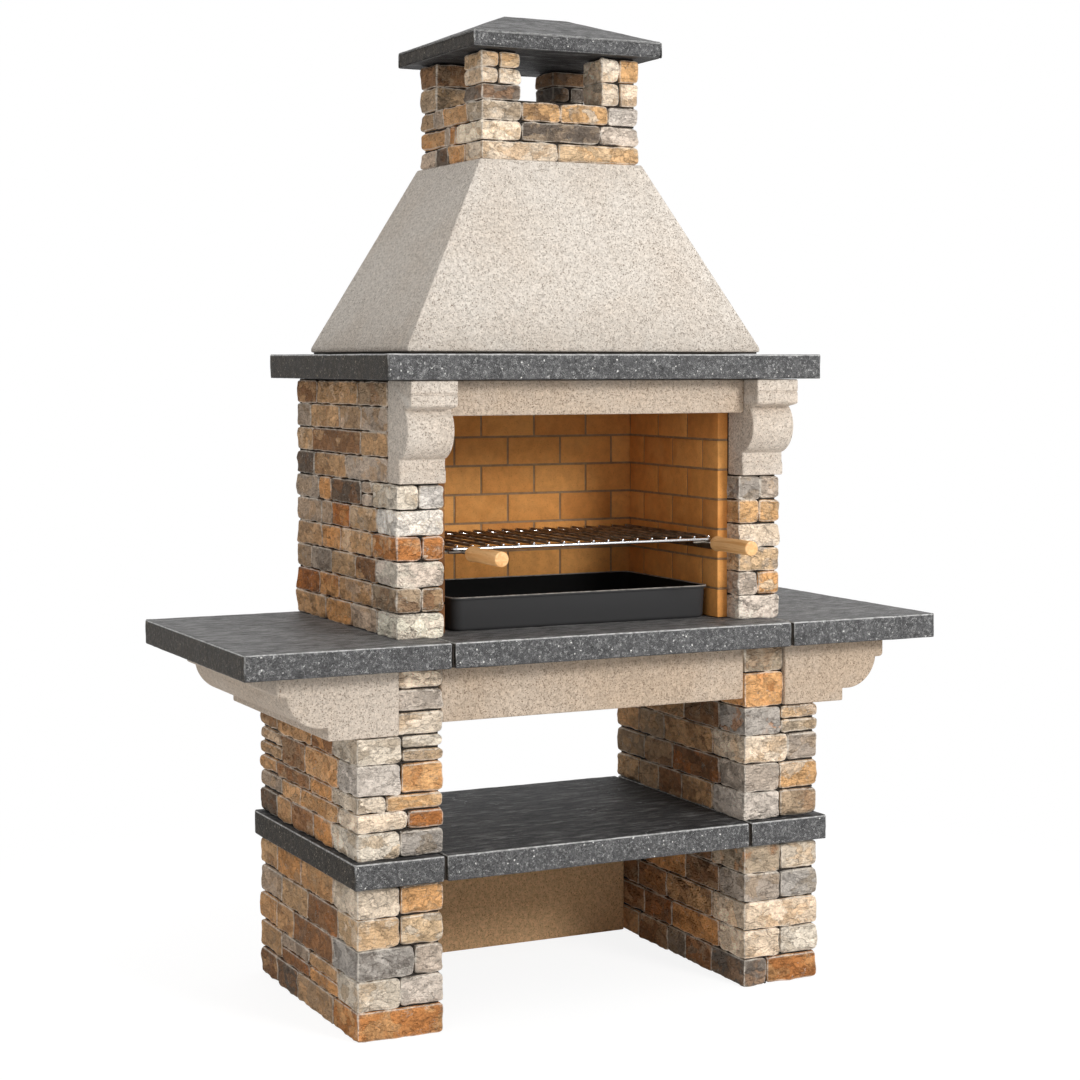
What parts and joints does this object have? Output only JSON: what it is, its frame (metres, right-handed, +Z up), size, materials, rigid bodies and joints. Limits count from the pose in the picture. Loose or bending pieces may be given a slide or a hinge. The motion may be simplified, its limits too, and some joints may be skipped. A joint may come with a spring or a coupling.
{
  "type": "masonry barbecue",
  "caption": "Free-standing stone barbecue with a brick-lined firebox, sliding grill and ember tray, side worktops, a lower shelf and a tapered smoke hood with a capped chimney.",
  "frame": {"origin": "on the ground, under the middle of the whole object's box", "axes": "+X to the right seen from the front, +Y from front to back, +Z up"},
  "size_m": [1.768, 0.82, 2.3185],
  "materials": {
    "facing_stone": "split face",
    "core_mortar": "raked joint",
    "dark_slab": "riven, worn edges",
    "cast_stone": "fine pitted",
    "render_panel": "fine pitted",
    "firebrick": "matte",
    "brick_mortar": "matte",
    "hidden_steel": "plain",
    "rail_steel": "dull",
    "grill_chrome": "bright",
    "stem_steel": "dull",
    "handle_wood": "oiled",
    "tray_enamel": "satin black"
  },
  "bodies": {
    "masonry": {"chimney_cap": "dark_slab", "chimney_flue_liner": "cast_stone", "chimney_joint_mortar": "core_mortar", "chimney_post_cores": "core_mortar", "chimney_post_stones": "facing_stone", "chimney_stones": "facing_stone", "front_beam": "cast_stone", "hood_mortar_bed": "core_mortar", "left_brick_mortar": "brick_mortar", "left_console": "cast_stone", "left_firebox_wall_core": "core_mortar", "left_firebox_wall_stones": "facing_stone", "left_firebricks": "firebrick", "left_footing_stones": "facing_stone", "left_grill_rail": "rail_steel", "left_lower_pier_core": "core_mortar", "left_lower_pier_stones": "facing_stone", "left_upper_pier_core": "core_mortar", "left_upper_pier_stones": "facing_stone", "left_wing_bracket": "cast_stone", "lintel": "cast_stone", "lintel_pins": "hidden_steel", "lower_back_panel": "render_panel", "mantel_slab": "dark_slab", "rail_screws": "rail_steel", "rear_beam": "cast_stone", "rear_brick_mortar": "brick_mortar", "rear_firebox_wall": "render_panel", "rear_firebricks": "firebrick", "right_brick_mortar": "brick_mortar", "right_console": "cast_stone", "right_firebox_wall_core": "core_mortar", "right_firebox_wall_stones": "facing_stone", "right_firebricks": "firebrick", "right_footing_stones": "facing_stone", "right_grill_rail": "rail_steel", "right_lower_pier_core": "core_mortar", "right_lower_pier_stones": "facing_stone", "right_upper_pier_core": "core_mortar", "right_upper_pier_stones": "facing_stone", "right_wing_bracket": "cast_stone", "shelf_dowels": "hidden_steel", "shelf_slab_left": "dark_slab", "shelf_slab_middle": "dark_slab", "shelf_slab_right": "dark_slab", "slab_seam_mortar": "core_mortar", "smoke_hood": "cast_stone", "tie_rods": "hidden_steel", "worktop_slab_left": "dark_slab", "worktop_slab_middle": "dark_slab", "worktop_slab_right": "dark_slab"},
    "grill": {"grill_frame": "grill_chrome", "grill_bars": "grill_chrome", "left_handle_stem": "stem_steel", "right_handle_stem": "stem_steel", "left_handle": "handle_wood", "right_handle": "handle_wood", "handle_ferrules": "grill_chrome"},
    "tray": {"ember_tray": "tray_enamel"}
  },
  "joints": [
    {"name": "grill_slide", "type": "slide", "parent": "masonry", "child": "grill", "axis": [0, -1, 0], "range_m": [0, 0.15]},
    {"name": "tray_slide", "type": "slide", "parent": "masonry", "child": "tray", "axis": [0, -1, 0], "range_m": [0, 0.3]}
  ]
}
